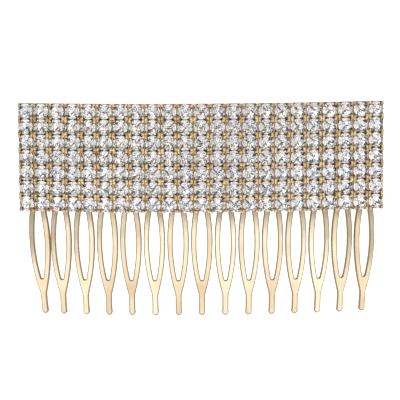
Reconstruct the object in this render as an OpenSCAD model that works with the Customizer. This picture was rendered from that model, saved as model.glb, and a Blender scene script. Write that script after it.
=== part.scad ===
// Decorative hair comb: seven rows of prong-set stones on a curved backing plate,
// soldered to a stamped metal comb with fifteen forked teeth.
// Frame: +X along the comb, stones face -Y, teeth point to -Z.
// The origin is on the middle of the comb sheet, at the lower edge of the stones.

/* [Curve] */
// Radius of the comb sheet's middle, seen from above
arc_radius = 175; // [150:5:400]
// Radius of the teeth's backward curve, seen from the end
lean_radius = 150; // [100:10:400]

/* [Comb] */
// Number of teeth
teeth = 15; // [5:2:15]
// Thickness of the comb sheet
sheet_t = 1.0; // [0.8:0.1:1.2]
// Distance between neighbouring teeth, along the sheet
tooth_pitch = 6.02; // [5.96:0.02:6.3]
// Length of the teeth below the stones
tooth_len = 27; // [26:0.5:34]
// Width of a tooth at its widest place
tooth_w = 5.48; // [5.3:0.02:5.5]
// Width of a tooth's slot at its widest place
slot_w = 2.72; // [2.5:0.02:2.84]
// Width of the single tine below the slot
tine_w = 1.53; // [1.41:0.02:1.61]
// Sideways bend of the first tooth, in degrees
first_tooth_bend = 2; // [0:0.25:2.25]

/* [Stones] */
// Number of stones in a row
columns = 23; // [17:2:23]
// Number of rows of stones
rows = 7; // [4:1:7]
// Distance between the middles of neighbouring stones in a row
column_pitch = 4.05; // [4.02:0.01:4.2]
// Distance between the middles of neighbouring rows
row_pitch = 3.92; // [3.9:0.01:4]
// Diameter of a stone
stone_d = 3.88; // [3.6:0.02:3.88]
// Outside width of a cup
cup_w = 3.86; // [3.8:0.01:3.86]

/* [Hidden] */
$fn = 48;
clearance = 0.02;

// Teeth, measured down from the lower edge of the stones
belly_z = -7.8;
side_r = 50;
slot_z = -8.15;
slot_side_r = 45;
slot_reach = 9.29;
neck_r = 5;
tip_r = 0.84;
tine_half = tine_w / 2;
// Small overlap that lets neighbouring arcs cross and not just touch
arc_bite = 0.02;
neck_drop = sqrt(pow(side_r + neck_r, 2) - pow(side_r + neck_r - tooth_w / 2 + tine_half, 2));
neck_z = belly_z - neck_drop;
neck_top_z = belly_z - neck_drop * side_r / (side_r + neck_r);
neck_half = leaf_half(side_r, tooth_w / 2, belly_z - neck_top_z);
slot_end_r = leaf_half(slot_side_r, slot_w / 2, slot_reach) + arc_bite;
cut_depth = 12;
cut_over = 1;
// Overlap of a tooth with the strip, and of a tooth's own parts
root_overlap = 1;
neck_overlap = 0.5;
// Extra half width of the neck's block, which the neck's arcs cut away
neck_spare = 0.06;

// Strip that joins the teeth, behind the lowest rows
strip_bottom_z = 1.8;
strip_top_z = 7;
strip_overhang = 2.6;
strip_t = sheet_t + 0.1;
tooth_step = tooth_pitch / arc_radius * 180 / PI;
strip_half_angle = (teeth - 1) / 2 * tooth_step + strip_overhang / arc_radius * 180 / PI;

// Backing plate, in front of the strip
plate_t = 0.6;
plate_inset = 0.5;
plate_r = arc_radius + strip_t / 2;
cup_seat_r = plate_r + plate_t;

// Cups, measured out from the plate
cup_floor = 0.3;
cup_wall_h = 1.4;
cup_corner_r = 2.62;
pocket_r = 1.6;
prong_w = 1;
prong_t = 0.3;
prong_reach = 0.26;
prong_fall = 20;
prong_root = 0.5;
seat_drop = 0.15;
cup_top_z = 3;
column_step = column_pitch / (cup_seat_r + cup_wall_h / 2) * 180 / PI;
stones_half_angle = (columns - 1) / 2 * column_step + cup_w / 2 / cup_seat_r * 180 / PI;
stones_top_z = rows * row_pitch;

// Stones, measured out from the plate
stone_r = stone_d / 2;
pavilion_h = 1.3;
girdle_z = 1.72;
girdle_t = 0.12;
crown_h = 0.72;
table_r = 1;
facet_pairs = 4;
table_z = girdle_z + girdle_t + crown_h;

// Links between the cups of a row
link_w = 0.7;
link_t = 0.25;
link_l = 1.14;

// Solder between the strip and the plate
beads = 6;
bead_r = 1.1;

row_numbers = [for (i = [1:rows]) i];

// Puts its children on the curve: x along the comb, y up, z outward, with z = 0 at radius r
module on_curve(angle, r, z) {
    translate([0, arc_radius, z])
        rotate([0, 0, angle])
            translate([0, -r, 0])
                rotate([90, 0, 0])
                    children();
}

// Turns a flat section, x = radius and y = height, about the curve's centre
module curved_sheet(half_angle) {
    translate([0, arc_radius, 0])
        rotate([0, 0, -90 - half_angle])
            rotate_extrude(angle = 2 * half_angle)
                children();
}

// Middle height of a row, counted from the top
function row_z(row) = (rows - row + 0.5) * row_pitch;
function column_angle(column) = (column - (columns - 1) / 2) * column_step;

// Half the width of a leaf at a distance along it from its widest place
function leaf_half(r, half_w, distance) = half_w - r + sqrt(pow(r, 2) - pow(distance, 2));

// Two arcs of radius r that bulge to half_w each side of the middle, widest at height z
module leaf(r, half_w, z, low, high) {
    intersection() {
        translate([r - half_w, z])
            circle(r);
        translate([half_w - r, z])
            circle(r);
        band(half_w + cut_over, low, high);
    }
}

module band(half_w, low, high) {
    translate([-half_w, low])
        square([2 * half_w, high - low]);
}

// A tooth cut straight through from the front: leaf, neck, tine and round tip, less the slot
module tooth_blank() {
    depth = 2 * cut_depth;
    through = depth + 2 * cut_over;
    difference() {
        union() {
            linear_extrude(depth)
                leaf(side_r, tooth_w / 2, belly_z, neck_top_z, strip_bottom_z + root_overlap);
            linear_extrude(depth)
                band(neck_half + neck_spare, neck_z, neck_top_z + neck_overlap);
            linear_extrude(depth)
                band(tine_half, -tooth_len + tip_r, neck_z + neck_overlap);
            translate([0, -tooth_len + tip_r])
                cylinder(r = tip_r, h = depth);
        }
        for (side = [-1, 1])
            translate([side * (tine_half + neck_r), neck_z, -cut_over])
                cylinder(r = neck_r + arc_bite, h = through);
        translate([0, 0, -cut_over])
            linear_extrude(through)
                leaf(slot_side_r, slot_w / 2, slot_z, slot_z - slot_reach, slot_z + slot_reach);
        for (end = [-1, 1])
            translate([0, slot_z + end * slot_reach, -cut_over])
                cylinder(r = slot_end_r, h = through);
    }
}

// The leaning sheet that one tooth is cut from: upright at its root, then curving back
module tooth_sheet() {
    width = tooth_w + tooth_pitch;
    translate([-width / 2, -sheet_t / 2, 0])
        cube([width, sheet_t, strip_bottom_z + root_overlap]);
    translate([0, lean_radius, 0])
        rotate([0, 90, 0])
            intersection() {
                difference() {
                    cylinder(r = lean_radius + sheet_t / 2, h = width, center = true);
                    cylinder(r = lean_radius - sheet_t / 2, h = width + cut_over, center = true);
                }
                translate([0, -lean_radius - sheet_t, -width])
                    cube([tooth_len + cut_over, lean_radius / 2, 2 * width]);
            }
}

module tooth(bend) {
    intersection() {
        tooth_sheet();
        translate([0, cut_depth, strip_bottom_z])
            rotate([0, bend, 0])
                translate([0, 0, -strip_bottom_z])
                    rotate([90, 0, 0])
                        tooth_blank();
    }
}

module comb() {
    color([0.87, 0.74, 0.50]) {
        curved_sheet(strip_half_angle)
            translate([arc_radius - strip_t / 2, strip_bottom_z])
                square([strip_t, strip_top_z - strip_bottom_z]);
        for (i = [0:teeth - 1])
            translate([0, arc_radius, 0])
                rotate([0, 0, (i - (teeth - 1) / 2) * tooth_step])
                    translate([0, -arc_radius, 0])
                        tooth(i == 0 ? -first_tooth_bend : 0);
    }
}

module backing_plate() {
    color([0.80, 0.64, 0.38])
        curved_sheet(stones_half_angle - plate_inset / cup_seat_r * 180 / PI)
            translate([plate_r, plate_inset])
                square([plate_t, stones_top_z - 2 * plate_inset]);
}

// Beads in the corner between the strip's top edge and the back of the plate
module solder_beads() {
    color([0.74, 0.68, 0.58])
        for (i = [0:beads - 1])
            on_curve((i - (beads - 1) / 2) * 2 * strip_half_angle / beads, plate_r, strip_top_z)
                intersection() {
                    sphere(bead_r);
                    translate([-bead_r, 0, -bead_r - clearance])
                        cube([2 * bead_r, bead_r, bead_r]);
                }
}

// One prong: a corner of the cup with a seat for the girdle, folded over the crown.
// Its outer side is left long, for the cup's outline to cut
module prong() {
    slope = atan2(crown_h, stone_r - table_r);
    inner = stone_r + clearance;
    outer = cup_w * sqrt(2) / 2;
    lip = girdle_z + girdle_t + clearance;
    tip = inner - prong_reach * cos(slope);
    tip_z = lip + prong_reach * sin(slope);
    seat = stone_r * (1 - seat_drop / pavilion_h) + clearance;
    rotate([90, 0, 0])
        linear_extrude(prong_w, center = true)
            polygon([
                [pocket_r + clearance, cup_wall_h - prong_root],
                [outer, cup_wall_h - prong_root],
                [outer, tip_z + prong_t - (outer - tip) * tan(prong_fall)],
                [tip, tip_z + prong_t],
                [tip, tip_z],
                [inner, lip],
                [inner, girdle_z - clearance],
                [seat, girdle_z - seat_drop]
            ]);
}

// Outline of a cup: a square with clipped corners
module cup_outline() {
    half = cup_w / 2;
    clip = cup_corner_r * sqrt(2) - half;
    polygon([for (turn = [0:90:270], side = [-1, 1])
        [half * cos(turn) - side * clip * sin(turn), half * sin(turn) + side * clip * cos(turn)]]);
}

// A cup: a square basket with four corner prongs, a round pocket and a slot for the links
module cup() {
    difference() {
        intersection() {
            linear_extrude(cup_top_z)
                cup_outline();
            union() {
                translate([-cup_w, -cup_w, 0])
                    cube([2 * cup_w, 2 * cup_w, cup_wall_h]);
                for (turn = [45:90:315])
                    rotate(turn)
                        prong();
            }
        }
        translate([0, 0, cup_floor])
            cylinder(r = pocket_r, h = cup_wall_h);
        translate([-cup_w, -link_w / 2 - clearance, cup_floor])
            cube([2 * cup_w, link_w + 2 * clearance, link_t + clearance]);
    }
}

// A cut stone: flat table, crown and pavilion facets in opposite pairs, and a round girdle
module stone() {
    culet_z = girdle_z - pavilion_h;
    facet_span = 2 * stone_d;
    intersection() {
        translate([0, 0, culet_z])
            cylinder(r = stone_r, h = table_z - culet_z);
        intersection_for(i = [0:facet_pairs - 1])
            rotate([90, 0, 180 * i / facet_pairs])
                linear_extrude(facet_span, center = true)
                    polygon([
                        [0, culet_z],
                        [stone_r, girdle_z],
                        [stone_r, girdle_z + girdle_t],
                        [table_r, table_z],
                        [-table_r, table_z],
                        [-stone_r, girdle_z + girdle_t],
                        [-stone_r, girdle_z]
                    ]);
    }
}

module cups_row(row) {
    color([0.83, 0.63, 0.33])
        for (i = [0:columns - 1])
            on_curve(column_angle(i), cup_seat_r, row_z(row))
                cup();
}

module stones_row(row) {
    color([0.93, 0.95, 0.98])
        for (i = [0:columns - 1])
            on_curve(column_angle(i), cup_seat_r, row_z(row))
                stone();
}

module links_row(row) {
    color([0.78, 0.60, 0.34])
        for (i = [0:columns - 2])
            on_curve(column_angle(i + 0.5), cup_seat_r, row_z(row))
                translate([-link_l / 2, -link_w / 2, cup_floor])
                    cube([link_l, link_w, link_t]);
}

comb();
backing_plate();
solder_beads();
for (i = row_numbers) cups_row(i);
for (i = row_numbers) stones_row(i);
for (i = row_numbers) links_row(i);
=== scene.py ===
"""Looks of the decorative hair comb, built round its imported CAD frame.

Metres, +Z up: the comb lies along X, its stones face -Y and its teeth point down. Shapes are worked out
in millimetres, as in the part's source, and scaled to metres when a mesh is made.
"""

import math

import bmesh
import bpy
import numpy as np
from mathutils import Matrix, Vector


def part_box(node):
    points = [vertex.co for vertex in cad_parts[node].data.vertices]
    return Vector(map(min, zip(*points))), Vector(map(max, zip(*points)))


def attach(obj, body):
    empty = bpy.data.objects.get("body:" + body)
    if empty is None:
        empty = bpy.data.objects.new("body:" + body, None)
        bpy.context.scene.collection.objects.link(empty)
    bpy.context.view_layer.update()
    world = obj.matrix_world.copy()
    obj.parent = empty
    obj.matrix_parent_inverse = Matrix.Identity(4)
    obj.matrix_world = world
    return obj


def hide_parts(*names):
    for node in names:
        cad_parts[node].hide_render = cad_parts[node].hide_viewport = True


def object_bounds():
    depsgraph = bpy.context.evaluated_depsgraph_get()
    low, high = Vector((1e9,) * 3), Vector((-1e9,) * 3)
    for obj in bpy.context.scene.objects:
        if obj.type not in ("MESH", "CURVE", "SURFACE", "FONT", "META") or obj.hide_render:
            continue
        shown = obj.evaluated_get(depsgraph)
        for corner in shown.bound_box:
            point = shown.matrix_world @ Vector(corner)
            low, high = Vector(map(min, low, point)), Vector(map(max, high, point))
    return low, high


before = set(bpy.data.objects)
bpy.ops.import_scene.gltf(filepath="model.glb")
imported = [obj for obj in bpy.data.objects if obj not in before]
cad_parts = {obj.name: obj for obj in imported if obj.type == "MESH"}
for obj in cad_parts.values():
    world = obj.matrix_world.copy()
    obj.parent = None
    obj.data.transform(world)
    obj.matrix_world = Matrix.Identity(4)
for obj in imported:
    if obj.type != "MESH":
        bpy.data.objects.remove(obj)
cad_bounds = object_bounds()

MM = 0.001
BODY = "root"
rng = np.random.default_rng(11)

# Stamped comb, in mm, as in the part's source
SHEET_T = 1.0
TEETH = 15
TOOTH_PITCH = 6.02
TOOTH_LEN = 27.0
TOOTH_W = 5.48
SLOT_W = 2.72
TINE_HALF = 0.765
TIP_R = 0.84
SIDE_R = 50.0
BELLY_Z = -7.8
NECK_R = 5.0
SLOT_Z = -8.15
SLOT_SIDE_R = 45.0
SLOT_REACH = 9.29
LEAN_R = 150.0
FIRST_BEND = math.radians(-2)
BEND_Z = 1.8
ROOT_Z = 2.8
TIP_STEPS = 6
TIP_END_DEG = -75
EDGE_STEPS = 3
# Rounded edge of the sheet, the painted dark reflection on it that fades out across the front face, and the
# gentle crown across each tooth
EDGE_R = 0.21
EDGE_FADE = 0.06
CAP_INSET = EDGE_R + EDGE_FADE
CROWN_R = 11.0
CROWN_FROM = 4.0
# Painted shade at the tooth roots, under the stones: where it starts, over what height it builds up, and how
# strong it gets
ROOT_SHADE_Z = -5.2
ROOT_SHADE_H = 4.2
ROOT_SHADE_LEAST = 0.4
ROOT_SHADE_VARY = 0.3

# Strip behind the lowest rows, backing plate and solder, in mm
STRIP_T = SHEET_T + 0.1
STRIP_CORNER_R = 1.0
STRIP_EDGE_R = 0.25
PLATE_T = 0.6
PLATE_CORNER_R = 0.8
PLATE_EDGE_R = 0.15
BAR_STEPS = 60
BEADS = 6

# Stones, in mm, measured out from the backing plate as in the part's source
STONE_R = 1.94
GIRDLE_Z = 1.72
GIRDLE_T = 0.12
CROWN_H = 0.72
PAVILION_H = 1.3
TABLE_R = 1.0
CULET_Z = GIRDLE_Z - PAVILION_H
CROWN_Z = GIRDLE_Z + GIRDLE_T
TABLE_Z = CROWN_Z + CROWN_H
CROWN_SLOPE = CROWN_H / (STONE_R - TABLE_R)
STONE_TILT = math.radians(1.6)
STAR_R = 0.77 * STONE_R
LOW_R = 0.62 * STONE_R
DEEP_R = 0.30 * STONE_R
PAVILION_CURVE = 1.12

# Cups, in mm, measured out from the backing plate as in the part's source
COLUMNS = 23
CUP_HALF = 1.93
CUP_CORNER_R = 0.35
WALL_T = 0.2
FLOOR_Z = 0.3
# Rim of the wall: its height, its dip in the middle of the upper and lower sides, and its bevel
RIM_Z = 1.55
RIM_DIP = 0.75
RIM_BEVEL = 0.05
RIM_FLAT_FROM = 0.06
RIM_FLAT_TO = 0.14
BASE_BEVEL = 0.12
# Part of a left or right side wall that is left without painted shade and flares towards the next cup
FLARE_FROM_Z = 1.0
SIDE_FLARE = 0.075
# Prong: from its nose on the stone to its root in the corner, and where it stops short of the next cup
PRONG_IN = 1.4
PRONG_OUT = 2.80
PRONG_REACH_X = 2.0
PRONG_REACH_Y = 1.95
PRONG_HALF = 0.54
PRONG_MIN_HALF = 0.06
# How much a prong's nose and width vary, and its turn in degrees and lift in mm
PRONG_NOSE_VARY = 0.08
PRONG_WIDTH_VARY = 0.12
PRONG_SKEW_DEG = 2.5
PRONG_LIFT = 0.03
# Leaf shape: the share of the length that is pointed, how blunt the nose is, and the curve between
PRONG_POINTED = 0.65
PRONG_BLUNT = 0.12
PRONG_CURVE = 1.15
# Crest: its height over the girdle, how far out it is highest, and its fall on either side
PRONG_CREST = 0.40
PRONG_CREST_R = 2.3
PRONG_FALL_IN = 0.16
PRONG_FALL_OUT = 0.05
PRONG_FALL_RUN = 0.6
# Clearance of a prong's top and underside over the stone, and where its root ends in the wall
PRONG_TOP_GAP = 0.04
PRONG_UNDER_GAP = 0.02
PRONG_ROOT_Z = RIM_Z - 0.5
PRONG_ROOT_R = STONE_R + 0.05
# Painted shade on a prong: on its nose, how fast that fades, on its sides, and how far along these are dark
NOSE_SHADE = 0.95
NOSE_SHADE_FALL = 1.4
SIDE_SHADE = 0.7
SIDE_SHADE_TO = 0.85
PRONG_U = 8
PRONG_V = 7

# Solder beads, in mm: half their length, the share of their height, half their depth, and the sink
BEAD_HALF_X = 1.15
BEAD_FILL = 0.92
BEAD_HALF_Y = 0.85
BEAD_SINK = 0.2

# Glowing floor, painted light, in metres: the floor itself glows in a bright pool under the comb that widens
# to the back and to the front
POOL_HALF = 0.075
POOL_BACK_SLOPE = 0.118
POOL_FRONT_SLOPE = 0.17
POOL_SOFT = 0.022
POOL_FRONT_Y = -0.128
POOL_LEFT_X = -0.020
POOL_END_Y = -0.38
POOL_END_SOFT = 0.1
FLOOR_GLOW_DIM = 0.02
FLOOR_GLOW_POOL = 0.62
FLOOR_HALF = 6.0
FLOOR_GAP = 0.00005

# Studio: white low down, and above that grey behind the comb and a mix of cards on the camera's side
WALL_WHITE = (1.03, 1.03, 1.03)
WALL_GREY = (0.45, 0.45, 0.45)
CARD_BRIGHT = (1.7, 1.68, 1.64)
CARD_DARK = (0.02, 0.02, 0.025)
CARD_SCALE = 5.0

# Softboxes, all aimed at the origin: name, place and size in metres, power in watts
SOFTBOXES = (
    ("top_softbox", (0, 0.1, 0.9), (0.9, 0.7), 1.7),
    ("left_softbox", (-0.55, -0.35, 0.6), (0.4, 0.5), 0.7),
    ("right_softbox", (0.55, -0.45, 0.5), (0.4, 0.4), 0.4),
)

# Camera, at the picture's viewing angle
AIM = Vector((-0.4, 0.0, 2.89)) * MM
CAMERA_DISTANCE = 0.5198
CAMERA_ELEVATION = math.radians(7.06)
CAMERA_YAW = math.radians(-0.71)
CAMERA_ROLL = math.radians(-0.32)
SENSOR_MM = 36.0
LENS_MM = 185.1


# ---------------------------------------------------------------- places, from the frame

def node_points(name):
    """A CAD node's vertices, in mm."""
    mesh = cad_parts[name].data
    points = np.empty(len(mesh.vertices) * 3)
    mesh.vertices.foreach_get("co", points)
    return points.reshape(-1, 3) / MM


def nodes_of(kind):
    """The CAD nodes of one kind, from the top row down."""
    return sorted((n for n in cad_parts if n.startswith(kind)), key=lambda n: int(n.split("_")[-1]))


def curve_axis(points):
    """Where a curved sheet's axis stands, and its outer radius, from its middle and its end."""
    middle_y = points[:, 1].min()
    end_x, end_y = points[points[:, 0].argmax()][:2]
    axis_y = (end_x**2 + end_y**2 - middle_y**2) / (2 * (end_y - middle_y))
    return axis_y, axis_y - middle_y


AXIS_Y, SEAT_R = curve_axis(node_points("backing_plate"))
# The comb sheet's middle passes through the origin
ARC_R = AXIS_Y


def angles_of(points):
    return np.arctan2(points[:, 0], AXIS_Y - points[:, 1])


def middles(name, count):
    """(angle, height) of the middle of each of a row's equal parts, from one end to the other."""
    points = node_points(name)
    angle = angles_of(points)
    share = (angle - angle.min()) / np.ptp(angle)
    place = np.minimum((share * count).astype(int), count - 1)
    height = (points[:, 2].min() + points[:, 2].max()) / 2
    return [((angle[place == i].min() + angle[place == i].max()) / 2, height) for i in range(count)]


def on_curve(points, angle, r, z):
    """Points given as x along the comb, y up and z outward, put on the curve of radius r."""
    out = r + points[:, 2]
    x = out * math.sin(angle) + points[:, 0] * math.cos(angle)
    y = AXIS_Y - out * math.cos(angle) + points[:, 0] * math.sin(angle)
    return np.stack([x, y, points[:, 1] + z], axis=1)


# ---------------------------------------------------------------- meshes

class Shape:
    """Vertices in mm, faces, and for each vertex a few named values that materials read."""

    def __init__(self):
        self.points, self.faces, self.slots, self.values, self.count = [], [], [], {}, 0

    def add(self, points, faces, slots=0, **values):
        points = np.asarray(points, float)
        start = self.count
        self.points.append(points)
        self.faces += [tuple(start + i for i in face) for face in faces]
        self.slots += list(slots) if hasattr(slots, "__len__") else [slots] * len(faces)
        for name, value in values.items():
            self.values.setdefault(name, []).append(np.broadcast_to(value, len(points)))
        self.count += len(points)

    def piece(self, name, materials, smooth_deg, replaced, slot):
        """Makes the Blender object, which rides on the body and stands for its CAD nodes."""
        mesh = bpy.data.meshes.new(name)
        mesh.from_pydata((np.concatenate(self.points) * MM).tolist(), [], self.faces)
        for material in materials:
            mesh.materials.append(material)
        mesh.polygons.foreach_set("material_index", self.slots)
        for key, parts in self.values.items():
            attribute = mesh.attributes.new(key, "FLOAT", "POINT")
            attribute.data.foreach_set("value", np.concatenate(parts).astype(np.float32))
        mesh.validate()
        if smooth_deg:
            mesh.polygons.foreach_set("use_smooth", [True] * len(mesh.polygons))
            mesh.set_sharp_from_angle(angle=math.radians(smooth_deg))
        mesh.update()
        piece = bpy.data.objects.new(name, mesh)
        bpy.context.scene.collection.objects.link(piece)
        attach(piece, BODY)
        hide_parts(*replaced)
        return piece


def ring_faces(a, b):
    """Quads between two equal closed rings of vertex numbers."""
    n = len(a)
    return [(a[i], a[(i + 1) % n], b[(i + 1) % n], b[i]) for i in range(n)]


def arc(centre, r, start_deg, end_deg, count):
    """Points along an arc, both ends included."""
    angle = np.radians(np.linspace(start_deg, end_deg, count))
    return np.stack([centre[0] + r * np.cos(angle), centre[1] + r * np.sin(angle)], axis=1)


# ---------------------------------------------------------------- comb

NECK_DROP = math.sqrt((SIDE_R + NECK_R) ** 2 - (SIDE_R + NECK_R - TOOTH_W / 2 + TINE_HALF) ** 2)
NECK_Z = BELLY_Z - NECK_DROP
NECK_TOP_Z = BELLY_Z - NECK_DROP * SIDE_R / (SIDE_R + NECK_R)
SLOT_END_R = SLOT_W / 2 - SLOT_SIDE_R + math.sqrt(SLOT_SIDE_R**2 - SLOT_REACH**2)
TIP_Z = TIP_R - TOOTH_LEN


def edge_layers(half_t, r):
    """(inset, depth) of the sheet's outline from its front face, round its edge, to its back face."""
    turn = np.radians(np.linspace(90, 0, EDGE_STEPS + 1))
    front = [(CAP_INSET, half_t)] + [(r * (1 - math.cos(a)), half_t - r * (1 - math.sin(a))) for a in turn]
    return front + [(inset, -depth) for inset, depth in reversed(front)]


def slot_half(inset):
    """One side of the slot, from its top to its bottom: an end arc, the long arc, an end arc."""
    reach = math.degrees(math.asin(SLOT_REACH / SLOT_SIDE_R))
    long_side = arc((SLOT_W / 2 - SLOT_SIDE_R, SLOT_Z), SLOT_SIDE_R + inset, reach, -reach, 19)
    top = arc((0, SLOT_Z + SLOT_REACH), SLOT_END_R + inset, 90, 0, 6)
    bottom = arc((0, SLOT_Z - SLOT_REACH), SLOT_END_R + inset, 0, -90, 6)
    return np.concatenate([top[:-1], long_side, bottom[1:]])


def side_half(inset, heights):
    """The tooth's right side, for rows that lie at these heights on the front face's outline."""
    found = []
    for z in heights:
        if z >= NECK_TOP_Z:
            a = math.asin((z - BELLY_Z) / (SIDE_R - CAP_INSET))
            r = SIDE_R - inset
            found.append((TOOTH_W / 2 - SIDE_R + r * math.cos(a), BELLY_Z + r * math.sin(a)))
        elif z >= NECK_Z:
            a = math.asin((z - NECK_Z) / (NECK_R + CAP_INSET))
            r = NECK_R + inset
            found.append((TINE_HALF + NECK_R - r * math.cos(a), NECK_Z + r * math.sin(a)))
        else:
            found.append((TINE_HALF - inset, z))
    return np.array(found)


def tooth_rows():
    """Heights of the rows above, beside and below the slot, down to the start of the round tip."""
    just_below = 0.01
    beside = slot_half(CAP_INSET)[:, 1]
    above = np.linspace(ROOT_Z, beside[0], 4)[:-1]
    below = np.concatenate([
        np.linspace(beside[-1], NECK_TOP_Z, 3)[1:-1],
        np.linspace(NECK_TOP_Z - just_below, NECK_Z, 6),
        np.linspace(NECK_Z, TIP_Z + TIP_R / 2, 5)[1:],
    ])
    return above, beside, below


def cap_faces(outer, hole, middle, first, last, n_side):
    """Faces that fill a tooth's front between its outline, its slot and its middle line."""
    n_slot = last - first + 1
    right, tip, left = outer[:n_side], outer[n_side], outer[n_side + 1:-1][::-1]
    hole_right = hole[:n_slot]
    hole_left = [hole[0]] + hole[n_slot:][::-1] + [hole[n_slot - 1]]
    inner_right = [hole_right[k - first] if first <= k <= last else middle[k] for k in range(n_side)]
    inner_left = [hole_left[k - first] if first <= k <= last else middle[k] for k in range(n_side)]
    cap = []
    for k in range(n_side - 1):
        cap.append((right[k], right[k + 1], inner_right[k + 1], inner_right[k]))
        cap.append((inner_left[k], inner_left[k + 1], left[k + 1], left[k]))
    cap.append((right[-1], tip, inner_right[-1]))
    cap.append((inner_left[-1], tip, left[-1]))
    return cap


def flat_tooth():
    """A straight upright tooth: its (x, depth, z) points, how much painted dark reflection each has, and its
    faces.
    """
    above, beside, below = tooth_rows()
    heights = np.concatenate([above, beside, below])
    layers = edge_layers(SHEET_T / 2, EDGE_R)
    first, last = len(above), len(above) + len(beside) - 1
    points, edge, faces, outer_rings, slot_rings = [], [], [], [], []

    def put(flat, depth, painted_shade):
        start = len(points)
        points.extend((x, depth, z) for x, z in flat)
        edge.extend([painted_shade] * len(flat))
        return list(range(start, start + len(flat)))

    for inset, depth in layers:
        # Painted dark reflection: the rounded edge is painted dark, the flat front and back are not
        painted_shade = 0.0 if inset > EDGE_R else 1.0
        tip = arc((0, TIP_Z), TIP_R - inset, 0, TIP_END_DEG, TIP_STEPS)
        right = np.concatenate([side_half(inset, heights), tip])
        left = right[::-1] * (-1, 1)
        bottom = [(0, TIP_Z - TIP_R + inset)]
        outer = np.concatenate([right, bottom, left, [(0, heights[0])]])
        outer_rings.append(put(outer, depth, painted_shade))
        hole = slot_half(inset)
        slot_rings.append(put(np.concatenate([hole, hole[-2:0:-1] * (-1, 1)]), depth, painted_shade))
    for a, b in zip(outer_rings, outer_rings[1:]):
        faces += ring_faces(a, b)
    for a, b in zip(slot_rings, slot_rings[1:]):
        faces += [face[::-1] for face in ring_faces(a, b)]

    tip_rows = arc((0, TIP_Z), TIP_R - CAP_INSET, 0, TIP_END_DEG, TIP_STEPS)[:, 1]
    inner_heights = np.concatenate([heights, tip_rows])
    n_side = len(inner_heights)
    for layer, flip in ((0, False), (len(layers) - 1, True)):
        middle = [outer_rings[layer][-1]]
        for k in range(1, n_side):
            if first <= k <= last:
                middle.append(None)
            else:
                middle += put([(0, inner_heights[k])], layers[layer][1], 0.0)
        cap = cap_faces(outer_rings[layer], slot_rings[layer], middle, first, last, n_side)
        faces += cap if flip else [face[::-1] for face in cap]
    return np.array(points), edge, faces


def add_tooth(shape, number, flat, edge, faces):
    """Bends, leans and crowns a flat tooth, and puts it in its place on the curve."""
    x, depth, z = flat[:, 0], flat[:, 1], flat[:, 2]
    bend = FIRST_BEND if number == 0 else 0.0
    x, z = (x * math.cos(bend) + (z - BEND_Z) * math.sin(bend),
            (z - BEND_Z) * math.cos(bend) - x * math.sin(bend) + BEND_Z)
    lean = LEAN_R - np.sqrt((LEAN_R + depth) ** 2 - np.minimum(z, 0) ** 2)
    crown = x**2 / (2 * CROWN_R) * np.clip(-z / CROWN_FROM, 0, 1)
    angle = (number - (TEETH - 1) / 2) * TOOTH_PITCH / AXIS_Y
    placed = on_curve(np.stack([x, z, -(lean + crown)], axis=1), angle, ARC_R, 0)
    tone = rng.uniform(0, 1)
    # Painted shade: darker towards the roots of the teeth, under the stones, more on some teeth than on
    # others
    root_shade = np.clip((z - ROOT_SHADE_Z) / ROOT_SHADE_H, 0, 1) * (ROOT_SHADE_LEAST + ROOT_SHADE_VARY * tone)
    shape.add(placed, faces, edge=np.maximum(edge, root_shade), tone=tone)


def bar_outline(half_t, low, high, edge_r, radius):
    """A bar's section, x = depth and y = height, with round edges, and how much painted dark reflection each
    point has.
    """
    corners = (
        ((half_t - edge_r, high - edge_r), 0),
        ((edge_r - half_t, high - edge_r), 90),
        ((edge_r - half_t, low + edge_r), 180),
        ((half_t - edge_r, low + edge_r), 270),
    )
    outline = [arc(centre, radius, start, start + 90, 4) for centre, start in corners]
    return np.concatenate(outline), [0.2, 1, 1, 0.2] * len(corners)


def sweep_bar(shape, half_angle, r, t, low, high, corner_r, edge_r):
    """A sheet of thickness t bent round the curve's axis, its middle at radius r, with round corners."""
    ends = [(corner_r * (1 - math.cos(a)), corner_r * (1 - math.sin(a)))
            for a in np.radians(np.linspace(0, 90, 7))]
    length = half_angle * r
    places = [(-length + s, inset) for s, inset in ends]
    places += [(s, 0) for s in np.linspace(-length + corner_r, length - corner_r, BAR_STEPS)[1:-1]]
    places += [(length - s, inset) for s, inset in reversed(ends)]
    rings, points, edge = [], [], []
    for i, (s, inset) in enumerate(places):
        at_end = i in (0, len(places) - 1)
        lip = edge_r if at_end else 0
        radius = edge_r / 4 if at_end else edge_r
        outline, painted_shade = bar_outline(t / 2 - lip, low + inset, high - inset, edge_r, radius)
        rings.append(list(range(len(points), len(points) + len(outline))))
        flat = np.stack([np.zeros(len(outline)), outline[:, 1], outline[:, 0]], axis=1)
        points += on_curve(flat, s / r, r, 0).tolist()
        # Painted dark reflection on the bar's round edges, a little on its flat faces, and all over its two
        # ends
        edge += [1] * len(painted_shade) if at_end else painted_shade
    faces = []
    for a, b in zip(rings, rings[1:]):
        faces += ring_faces(a, b)
    faces += [tuple(rings[0]), tuple(reversed(rings[-1]))]
    shape.add(points, faces, edge=edge, tone=0.5)


# ---------------------------------------------------------------- cups

def rounded_square(half, corner_r, corner_steps, side_steps):
    """A closed outline, turning left all the way, and how near each point is to a corner."""
    flat = half - corner_r
    points, near = [], []
    for turn in range(4):
        a = math.radians(90 * turn)
        side = [(half, y) for y in np.linspace(-flat, flat, side_steps + 2)[1:-1]]
        corner = arc((flat, flat), corner_r, 0, 90, corner_steps).tolist()
        for x, y in side + corner:
            points.append((x * math.cos(a) - y * math.sin(a), x * math.sin(a) + y * math.cos(a)))
            near.append(abs(y / half) if (x, y) in side else 1.0)
    return np.array(points), np.array(near)


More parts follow.
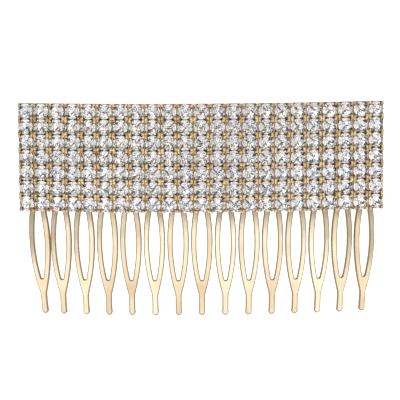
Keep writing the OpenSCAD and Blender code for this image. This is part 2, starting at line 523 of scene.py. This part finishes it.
def add_basket(points, faces, edge):
    """The square wall with its scalloped rim, and the floor."""
    outline, near = rounded_square(CUP_HALF, CUP_CORNER_R, 4, 3)
    beside = np.abs(outline[:, 0]) > np.abs(outline[:, 1])
    rim = RIM_Z - np.where(beside, 0.0, RIM_DIP) * (1 - near**2)
    level = np.ones(len(outline))
    # Painted shade: the last number of each ring darkens the wall, its rim and the floor, for shade inside
    # the cups and between them; the flared side walls stay unpainted
    profile = (
        (BASE_BEVEL, 0.0 * level, 1.0),
        (0.0, BASE_BEVEL * level, 1.0),
        (0.0, rim - RIM_BEVEL, 0.9),
        (RIM_FLAT_FROM, rim, 0.5),
        (RIM_FLAT_TO, rim, 0.5),
        (WALL_T, rim - RIM_BEVEL, 0.8),
        (WALL_T, FLOOR_Z * level, 1.0),
    )
    rings = []
    for inset, height, painted_shade in profile:
        flat = outline * (CUP_HALF - inset) / CUP_HALF
        flared = beside & (height > FLARE_FROM_Z)
        flat[:, 0] += np.where(flared, SIDE_FLARE, 0.0) * np.sign(flat[:, 0])
        rings.append(list(range(len(points), len(points) + len(flat))))
        points += [(x, y, h) for (x, y), h in zip(flat, height)]
        edge += np.where(flared, 0.0, painted_shade).tolist()
    for a, b in zip(rings, rings[1:]):
        faces += ring_faces(a, b)
    faces += [tuple(reversed(rings[0])), tuple(rings[-1])]


def clamp(value, reach):
    """The value, kept within reach of 0 on either side."""
    return min(max(value, -reach), reach)


def prong_painted_shade(u, v):
    """Painted shade on top of a prong, at u from its nose and v across it: on the nose and down the sides."""
    return min(1.0, max(NOSE_SHADE - NOSE_SHADE_FALL * u, 0) + (SIDE_SHADE * v**2 if u < SIDE_SHADE_TO else 0))


def add_prong(points, faces, edge, turn_deg, grow, skew_deg, lift, reach_x):
    """A corner of the cup folded over the stone: a pointed leaf, domed on top, its root in the wall."""
    top, under = [], []
    turn = math.radians(turn_deg + skew_deg)
    nose_r = PRONG_IN - grow * PRONG_NOSE_VARY
    for u in np.linspace(0, 1, PRONG_U):
        rho = nose_r + (PRONG_OUT - nose_r) * u
        leaf = PRONG_BLUNT + (1 - PRONG_BLUNT) * min(u / PRONG_POINTED, 1) ** PRONG_CURVE
        corner = PRONG_REACH_X * math.sqrt(2) - rho
        half = min(PRONG_HALF * (1 + grow * PRONG_WIDTH_VARY) * leaf, max(corner, PRONG_MIN_HALF))
        seat = CROWN_Z + max(STONE_R - rho, 0) * CROWN_SLOPE
        fall = PRONG_FALL_IN if rho < PRONG_CREST_R else PRONG_FALL_OUT
        crest = CROWN_Z + PRONG_CREST + lift - fall * ((rho - PRONG_CREST_R) / PRONG_FALL_RUN) ** 2
        for v in np.linspace(-1, 1, PRONG_V):
            y = half * v
            point = (clamp(rho * math.cos(turn) - y * math.sin(turn), reach_x),
                     clamp(rho * math.sin(turn) + y * math.cos(turn), PRONG_REACH_Y))
            dome = (0.05 * v * v + 0.08 * v**4) * (1 - 0.6 * u) + (0.05 if u == 0 else 0)
            top.append((*point, max(crest - dome, seat + PRONG_TOP_GAP)))
            under.append((*point, seat + PRONG_UNDER_GAP if rho < PRONG_ROOT_R else PRONG_ROOT_Z))
            # Painted shade: the top is darkened on its nose and sides, the underside fully
            edge.append(prong_painted_shade(u, v))
    edge += [1.0] * len(under)
    start, n = len(points), len(top)
    points += top + under
    grid = np.arange(n).reshape(PRONG_U, PRONG_V) + start
    for i in range(PRONG_U - 1):
        for j in range(PRONG_V - 1):
            quad = (grid[i, j], grid[i + 1, j], grid[i + 1, j + 1], grid[i, j + 1])
            faces += [quad, tuple(k + n for k in reversed(quad))]
    loop = [*grid[0, :], *grid[1:, -1], *grid[-1, -2::-1], *grid[-2:0:-1, 0]]
    faces += ring_faces(loop, [k + n for k in loop])


def build_cups(row_name, cups, look):
    """A row of cups, whose outermost prongs stay within the comb's ends."""
    shape = Shape()
    for number, (angle, height) in enumerate(cups):
        points, faces, edge = [], [], []
        add_basket(points, faces, edge)
        outermost = {0: (135, 225), COLUMNS - 1: (45, 315)}.get(number, ())
        for turn in (45, 135, 225, 315):
            reach_x = CUP_HALF if turn in outermost else PRONG_REACH_X
            grow = rng.uniform(-1, 1)
            skew = rng.normal(0, PRONG_SKEW_DEG)
            lift = rng.normal(0, PRONG_LIFT)
            add_prong(points, faces, edge, turn, grow, skew, lift, reach_x)
        placed = on_curve(np.array(points), angle, SEAT_R, height)
        shape.add(placed, faces, edge=edge, tone=rng.uniform(0, 1))
    return shape.piece(row_name + "_look", [look], 50, [row_name], "cup_metal")


# ---------------------------------------------------------------- stones

def stone_shape():
    """A round brilliant: points, faces, and for each face whether the foil lies behind it."""
    eighth = np.radians(np.arange(8) * 45)
    sixteenth = np.radians(np.arange(16) * 22.5)
    half_step = math.radians(22.5)
    star_z = TABLE_Z - (STAR_R * math.cos(half_step) - TABLE_R) * CROWN_SLOPE
    low_z = CULET_Z + (LOW_R * math.cos(half_step) / STONE_R) ** PAVILION_CURVE * PAVILION_H
    deep_z = CULET_Z + (DEEP_R / STONE_R) ** PAVILION_CURVE * PAVILION_H
    rows = [
        [(TABLE_R * math.cos(a), TABLE_R * math.sin(a), TABLE_Z) for a in eighth],
        [(STAR_R * math.cos(a + half_step), STAR_R * math.sin(a + half_step), star_z) for a in eighth],
        [(STONE_R * math.cos(a), STONE_R * math.sin(a), CROWN_Z) for a in sixteenth],
        [(STONE_R * math.cos(a), STONE_R * math.sin(a), GIRDLE_Z) for a in sixteenth],
        [(LOW_R * math.cos(a + half_step), LOW_R * math.sin(a + half_step), low_z) for a in eighth],
        [(DEEP_R * math.cos(a), DEEP_R * math.sin(a), deep_z) for a in eighth],
        [(0.0, 0.0, CULET_Z)],
    ]
    start = np.cumsum([0] + [len(row) for row in rows])
    table, star, upper, lower, low, deep, culet = (int(s) for s in start[:7])
    faces, foil = [tuple(range(table, table + 8))], [0]
    for k in range(8):
        ahead, back = (k + 1) % 8, (k - 1) % 8
        even, odd, after = 2 * k, 2 * k + 1, (2 * k + 2) % 16
        faces += [
            (table + ahead, table + k, star + k),
            (table + k, star + back, upper + even, star + k),
            (star + k, upper + even, upper + odd),
            (star + k, upper + odd, upper + after),
            (upper + even, lower + even, lower + odd, upper + odd),
            (upper + odd, lower + odd, lower + after, upper + after),
            (low + k, lower + odd, lower + even),
            (low + k, lower + after, lower + odd),
            (low + back, low + k, lower + even),
            (low + back, deep + k, low + k),
            (low + k, deep + k, deep + ahead),
            (culet, deep + ahead, deep + k),
        ]
        foil += [0, 0, 0, 0, 0, 0, 1, 1, 1, 1, 1, 1]
    return np.array([p for row in rows for p in row]), faces, foil


def build_stones(row_name, seats, materials):
    """A row of stones, each turned and slightly tilted at random."""
    shape = Shape()
    points, faces, foil = stone_shape()
    middle = np.array([0, 0, GIRDLE_Z])
    for angle, height in seats:
        tilt = Matrix.Rotation(rng.normal(0, STONE_TILT), 3, "X")
        tilt = tilt @ Matrix.Rotation(rng.normal(0, STONE_TILT), 3, "Y")
        tilt = tilt @ Matrix.Rotation(rng.uniform(0, math.radians(45)), 3, "Z")
        turned = (points - middle) @ np.array(tilt).T + middle
        shape.add(on_curve(turned, angle, SEAT_R, height), faces, foil, tone=rng.uniform(0, 1))
    return shape.piece(row_name + "_look", materials, 0, [row_name], "crystal")


# ---------------------------------------------------------------- solder

def build_solder(look):
    """Uneven beads of solder, between the strip and the plate."""
    shape = Shape()
    box_low, box_high = (np.array(corner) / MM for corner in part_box("solder_beads"))
    base_z = box_low[2]
    height = box_high[2] - base_z
    ball_mesh = bmesh.new()
    bmesh.ops.create_icosphere(ball_mesh, subdivisions=3, radius=1.0)
    ball = np.array([v.co for v in ball_mesh.verts])
    ball_faces = [tuple(v.index for v in f.verts) for f in ball_mesh.faces]
    ball_mesh.free()
    for angle, _ in middles("solder_beads", BEADS):
        phase = rng.uniform(0, 6.28, 6)
        swell = 1 + 0.07 * np.sin(3 * ball[:, 0] + phase[0]) * np.sin(4 * ball[:, 1] + phase[1])
        swell += 0.04 * np.sin(7 * ball[:, 2] + phase[2]) * np.sin(6 * ball[:, 0] + phase[3])
        blob = ball * swell[:, None] * (BEAD_HALF_X, BEAD_FILL * height, BEAD_HALF_Y)
        placed = on_curve(blob + (0, 0, -BEAD_SINK), angle, SEAT_R - PLATE_T, base_z)
        shape.add(placed, ball_faces, tone=rng.uniform(0, 1))
    return shape.piece("solder_beads_look", [look], 180, ["solder_beads"], "solder")


# ---------------------------------------------------------------- materials

class Nodes:
    """A short way to write the nodes of a material or a world."""

    def __init__(self, owner):
        owner.use_nodes = True
        self.tree = owner.node_tree
        self.tree.nodes.clear()

    def add(self, kind, inputs=None, **settings):
        node = self.tree.nodes.new(kind)
        for key, value in settings.items():
            setattr(node, key, value)
        for key, value in (inputs or {}).items():
            if isinstance(value, bpy.types.NodeSocket):
                self.tree.links.new(value, node.inputs[key])
            else:
                node.inputs[key].default_value = value
        return node

    def ramp(self, factor, stops):
        node = self.add("ShaderNodeValToRGB", {"Fac": factor})
        elements = node.color_ramp.elements
        while len(elements) < len(stops):
            elements.new(0.5)
        for element, (at, colour) in zip(elements, stops):
            element.position = at
            element.color = (*colour, 1)
        return node.outputs["Color"]

    def mix(self, factor, a, b, blend="MIX"):
        node = self.add("ShaderNodeMix", {"Factor": factor}, data_type="RGBA", blend_type=blend)
        for key, value in (("A", a), ("B", b)):
            socket = next(s for s in node.inputs if s.name == key and s.type == "RGBA")
            if isinstance(value, bpy.types.NodeSocket):
                self.tree.links.new(value, socket)
            else:
                socket.default_value = (*value, 1)
        return next(s for s in node.outputs if s.type == "RGBA")

    def math(self, kind, a, b):
        return self.add("ShaderNodeMath", {0: a, 1: b}, operation=kind).outputs[0]

    def spread(self, value, low, high, from_low=0.0, from_high=1.0):
        node = self.add("ShaderNodeMapRange", {"Value": value, "From Min": from_low, "From Max": from_high,
                                               "To Min": low, "To Max": high})
        return node.outputs["Result"]

    def noise(self, vector, per_mm, detail=3.0, roughness=0.5):
        node = self.add("ShaderNodeTexNoise", {"Vector": vector, "Scale": per_mm / MM, "Detail": detail,
                                               "Roughness": roughness})
        return node.outputs["Fac"]

    def value(self, name):
        return self.add("ShaderNodeAttribute", attribute_name=name).outputs["Fac"]

    def finish(self, shader):
        self.add("ShaderNodeOutputMaterial", {"Surface": shader.outputs[0]})


def plated_metal(name, light, mid, deep, painted_shade, rough, scratch, patch=0.12, painted_shade_spread=(0.5, 1.1)):
    """Plated metal: patchy tone, painted shade and painted dark reflections on its edges and in its hollows,
    fine scratches and slight waves.
    """
    material = bpy.data.materials.new(name)
    n = Nodes(material)
    place = n.add("ShaderNodeTexCoord").outputs["Object"]
    patches = n.noise(place, patch, 2.0)
    tone = n.math("ADD", n.math("MULTIPLY", n.value("tone"), 0.3), n.math("MULTIPLY", patches, 0.85))
    colour = n.ramp(tone, [(0.3, deep), (0.55, mid), (0.8, light)])
    grain = n.noise(place, 2.5, 4.0, 0.6)
    # Painted shade: the mesh's per-point painted shade values, broken up by grain, blend the colour towards
    # the dark shade colour
    edge = n.math("MULTIPLY", n.value("edge"), n.spread(grain, painted_shade_spread[0], painted_shade_spread[1], 0.3, 0.7))
    edge = n.math("MINIMUM", edge, 1.0)
    colour = n.mix(edge, colour, painted_shade)
    stretch = n.add("ShaderNodeMapping", {"Vector": place, "Scale": (1, 1, 0.06), "Rotation": (0.1, 0.35, 0)})
    lines = n.noise(stretch.outputs["Vector"], 7.0, 3.0, 0.7)
    roughness = n.math("ADD", n.spread(grain, rough[0], rough[1], 0.3, 0.7), n.math("MULTIPLY", edge, 0.12))
    swell = n.noise(place, 0.35, 1.0)
    waves = n.add("ShaderNodeBump", {"Height": swell, "Strength": 0.35, "Distance": 0.12 * MM})
    bump = n.add("ShaderNodeBump", {"Height": lines, "Strength": scratch, "Distance": 0.01 * MM,
                                    "Normal": waves.outputs["Normal"]})
    n.finish(n.add("ShaderNodeBsdfPrincipled", {"Base Color": colour, "Metallic": 1.0, "Roughness": roughness,
                                                "Normal": bump.outputs["Normal"]}))
    return material


def cut_glass():
    """Clear lead glass with the faintest tint from stone to stone, and rubbed facets."""
    material = bpy.data.materials.new("cut_glass")
    n = Nodes(material)
    place = n.add("ShaderNodeTexCoord").outputs["Object"]
    tints = [(0.0, (0.94, 0.95, 0.95)), (0.5, (1.0, 0.98, 0.94)), (1.0, (1.0, 0.95, 0.90))]
    tint = n.ramp(n.value("tone"), tints)
    haze = n.noise(place, 1.5, 3.0)
    n.finish(n.add("ShaderNodeBsdfPrincipled", {
        "Base Color": n.mix(n.spread(haze, 0.0, 0.06, 0.4, 0.8), tint, (0.85, 0.86, 0.9)),
        "Roughness": n.spread(haze, 0.0, 0.015, 0.35, 0.75), "IOR": 1.56, "Transmission Weight": 1.0}))
    return material


def mirror_foil():
    """Silver foil behind the pavilion, slightly uneven."""
    material = bpy.data.materials.new("mirror_foil")
    n = Nodes(material)
    place = n.add("ShaderNodeTexCoord").outputs["Object"]
    spots = n.noise(place, 1.2, 3.0)
    colour = n.ramp(spots, [(0.35, (0.80, 0.80, 0.83)), (0.6, (0.95, 0.95, 0.96))])
    dents = n.noise(place, 3.0, 2.0)
    bump = n.add("ShaderNodeBump", {"Height": dents, "Strength": 0.15, "Distance": 0.02 * MM})
    n.finish(n.add("ShaderNodeBsdfPrincipled", {"Base Color": colour, "Metallic": 1.0,
                                                "Roughness": n.spread(spots, 0.04, 0.14, 0.3, 0.7),
                                                "Normal": bump.outputs["Normal"]}))
    return material


def solder_metal():
    """Dull grey-gold solder with a frosty, crystalline skin."""
    material = bpy.data.materials.new("solder_metal")
    n = Nodes(material)
    place = n.add("ShaderNodeTexCoord").outputs["Object"]
    grain = n.noise(place, 4.0, 4.0, 0.65)
    tones = [(0.35, (0.42, 0.38, 0.32)), (0.55, (0.66, 0.61, 0.52)), (0.7, (0.80, 0.76, 0.68))]
    colour = n.ramp(grain, tones)
    bump = n.add("ShaderNodeBump", {"Height": grain, "Strength": 0.5, "Distance": 0.05 * MM})
    n.finish(n.add("ShaderNodeBsdfPrincipled", {"Base Color": colour, "Metallic": 1.0,
                                                "Roughness": n.spread(grain, 0.3, 0.55, 0.3, 0.7),
                                                "Normal": bump.outputs["Normal"]}))
    return material


# ---------------------------------------------------------------- build

# The fourth colour of each plating is its painted shade colour
comb_metal = plated_metal("comb_plating", (0.85, 0.73, 0.55), (0.76, 0.62, 0.42), (0.63, 0.47, 0.30),
                          (0.21, 0.17, 0.11), (0.10, 0.20), 0.2, painted_shade_spread=(0.8, 1.2))
cup_metal = plated_metal("cup_plating", (0.96, 0.77, 0.48), (0.80, 0.58, 0.32), (0.50, 0.31, 0.15),
                         (0.10, 0.06, 0.03), (0.14, 0.28), 0.2, 0.4, painted_shade_spread=(0.8, 1.2))
plate_metal = plated_metal("plate_plating", (0.93, 0.78, 0.52), (0.86, 0.69, 0.42), (0.72, 0.55, 0.32),
                           (0.35, 0.25, 0.14), (0.22, 0.38), 0.6)
glass = cut_glass()
foil = mirror_foil()

comb_points = node_points("comb")
comb_angle = np.abs(angles_of(comb_points)).max()
comb = Shape()
flat, edge, faces = flat_tooth()
for tooth_number in range(TEETH):
    add_tooth(comb, tooth_number, flat, edge, faces)
sweep_bar(comb, comb_angle, ARC_R, STRIP_T, BEND_Z, comb_points[:, 2].max(), STRIP_CORNER_R, STRIP_EDGE_R)
comb.piece("comb_look", [comb_metal], 40, ["comb"], "comb_metal")

plate_points = node_points("backing_plate")
plate_angle = np.abs(angles_of(plate_points)).max()
plate_low, plate_high = plate_points[:, 2].min(), plate_points[:, 2].max()
plate = Shape()
sweep_bar(plate, plate_angle, SEAT_R - PLATE_T / 2, PLATE_T, plate_low, plate_high, PLATE_CORNER_R,
          PLATE_EDGE_R)
plate.piece("backing_plate_look", [plate_metal], 40, ["backing_plate"], "cup_metal")

build_solder(solder_metal())
for cups_name, stones_name in zip(nodes_of("cups_row_"), nodes_of("stones_row_")):
    seats = middles(stones_name, COLUMNS)
    build_cups(cups_name, seats, cup_metal)
    build_stones(stones_name, seats, [glass, foil])
for name in nodes_of("links_row_"):
    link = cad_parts[name]
    link.data.materials.clear()
    link.data.materials.append(cup_metal)


# ---------------------------------------------------------------- stage, light, camera

def build_floor(z):
    """A floor that itself glows, as painted light, in a pool under and behind the comb and in front of it."""
    material = bpy.data.materials.new("studio_floor")
    n = Nodes(material)
    place = n.add("ShaderNodeTexCoord").outputs["Object"]
    parts = n.add("ShaderNodeSeparateXYZ", {"Vector": place})
    x, y = parts.outputs["X"], parts.outputs["Y"]
    to_back = n.math("MULTIPLY", n.math("MAXIMUM", y, 0.0), POOL_BACK_SLOPE)
    to_front = n.math("MULTIPLY", n.math("MAXIMUM", n.math("MULTIPLY", y, -1.0), 0.0), POOL_FRONT_SLOPE)
    beyond = n.math("SUBTRACT", n.math("ABSOLUTE", x, 0.0), n.math("ADD", to_back, to_front))
    inside = n.spread(beyond, 1.0, 0.0, POOL_HALF - POOL_SOFT, POOL_HALF + POOL_SOFT)
    near = n.spread(y, 0.0, 1.0, POOL_FRONT_Y - POOL_SOFT, POOL_FRONT_Y + POOL_SOFT)
    left = n.spread(x, 1.0, 0.0, POOL_LEFT_X - POOL_SOFT, POOL_LEFT_X + POOL_SOFT)
    left = n.math("MULTIPLY", left, n.spread(y, 0.0, 1.0, POOL_END_Y - POOL_END_SOFT,
                                             POOL_END_Y + POOL_END_SOFT))
    lit = n.math("MULTIPLY", inside, n.math("MAXIMUM", near, left))
    # Painted light: the floor's own glow, strongest in the pools, lights the comb and shows in its metal and
    # stones
    glow = n.math("ADD", n.math("MULTIPLY", lit, FLOOR_GLOW_POOL), FLOOR_GLOW_DIM)
    colour = n.ramp(n.noise(place, 0.004, 3.0), [(0.3, (0.90, 0.90, 0.90)), (0.7, (0.93, 0.93, 0.93))])
    n.finish(n.add("ShaderNodeBsdfPrincipled", {"Base Color": colour, "Roughness": 0.7,
                                                "Emission Color": (1, 1, 1, 1), "Emission Strength": glow}))
    mesh = bpy.data.meshes.new("studio_floor")
    corners = [(x * FLOOR_HALF, y * FLOOR_HALF, z) for x, y in ((-1, -1), (1, -1), (1, 1), (-1, 1))]
    mesh.from_pydata(corners, [], [(0, 1, 2, 3)])
    mesh.materials.append(material)
    floor = bpy.data.objects.new("studio_floor", mesh)
    bpy.context.scene.collection.objects.link(floor)


def build_world():
    """White low down; higher up, grey behind the comb, and bright and dark cards facing its stones."""
    world = bpy.data.worlds.new("studio")
    bpy.context.scene.world = world
    n = Nodes(world)
    direction = n.add("ShaderNodeTexCoord").outputs["Generated"]
    parts = n.add("ShaderNodeSeparateXYZ", {"Vector": direction})
    front = n.spread(parts.outputs["Y"], 1.0, 0.0, -0.5, 0.3)
    high = n.spread(parts.outputs["Z"], 0.0, 1.0, 0.07, 0.12)
    cards = n.add("ShaderNodeTexNoise", {"Vector": direction, "Scale": CARD_SCALE, "Detail": 1.0,
                                         "Roughness": 0.5})
    dark = n.spread(cards.outputs["Fac"], 0.0, 1.0, 0.49, 0.52)
    panels = n.ramp(dark, [(0.0, CARD_BRIGHT), (1.0, CARD_DARK)])
    above = n.mix(front, WALL_GREY, panels)
    colour = n.mix(high, WALL_WHITE, above)
    background = n.add("ShaderNodeBackground", {"Color": colour, "Strength": 1.0})
    n.add("ShaderNodeOutputWorld", {"Surface": background.outputs[0]})


def build_light(name, place, size, power):
    """A soft rectangular light, aimed at the origin."""
    data = bpy.data.lights.new(name, "AREA")
    data.shape = "RECTANGLE"
    data.size, data.size_y = size
    data.energy = power
    data.spread = math.radians(180)
    light = bpy.data.objects.new(name, data)
    light.location = place
    light.rotation_euler = (Vector((0, 0, 0)) - Vector(place)).to_track_quat("-Z", "Y").to_euler()
    bpy.context.scene.collection.objects.link(light)


def build_camera():
    """The camera, aimed at AIM and rolled a little."""
    back = Vector((math.sin(CAMERA_YAW) * math.cos(CAMERA_ELEVATION),
                   -math.cos(CAMERA_YAW) * math.cos(CAMERA_ELEVATION), math.sin(CAMERA_ELEVATION)))
    side = (-back).cross(Vector((0, 0, 1))).normalized()
    up = side.cross(-back)
    c, s = math.cos(CAMERA_ROLL), math.sin(CAMERA_ROLL)
    turned_side, turned_up = side * c + up * s, up * c - side * s
    data = bpy.data.cameras.new("camera")
    data.sensor_width, data.lens = SENSOR_MM, LENS_MM
    data.clip_start, data.clip_end = 0.01, 50
    camera = bpy.data.objects.new("camera", data)
    camera.matrix_world = Matrix((turned_side, turned_up, back)).transposed().to_4x4()
    camera.location = AIM + back * CAMERA_DISTANCE
    bpy.context.scene.collection.objects.link(camera)
    bpy.context.scene.camera = camera


build_floor(cad_bounds[0].z - FLOOR_GAP)
build_world()
for name, place, size, power in SOFTBOXES:
    build_light(name, place, size, power)
build_camera()
bpy.context.scene.view_settings.view_transform = "Standard"

bpy.context.view_layer.update()
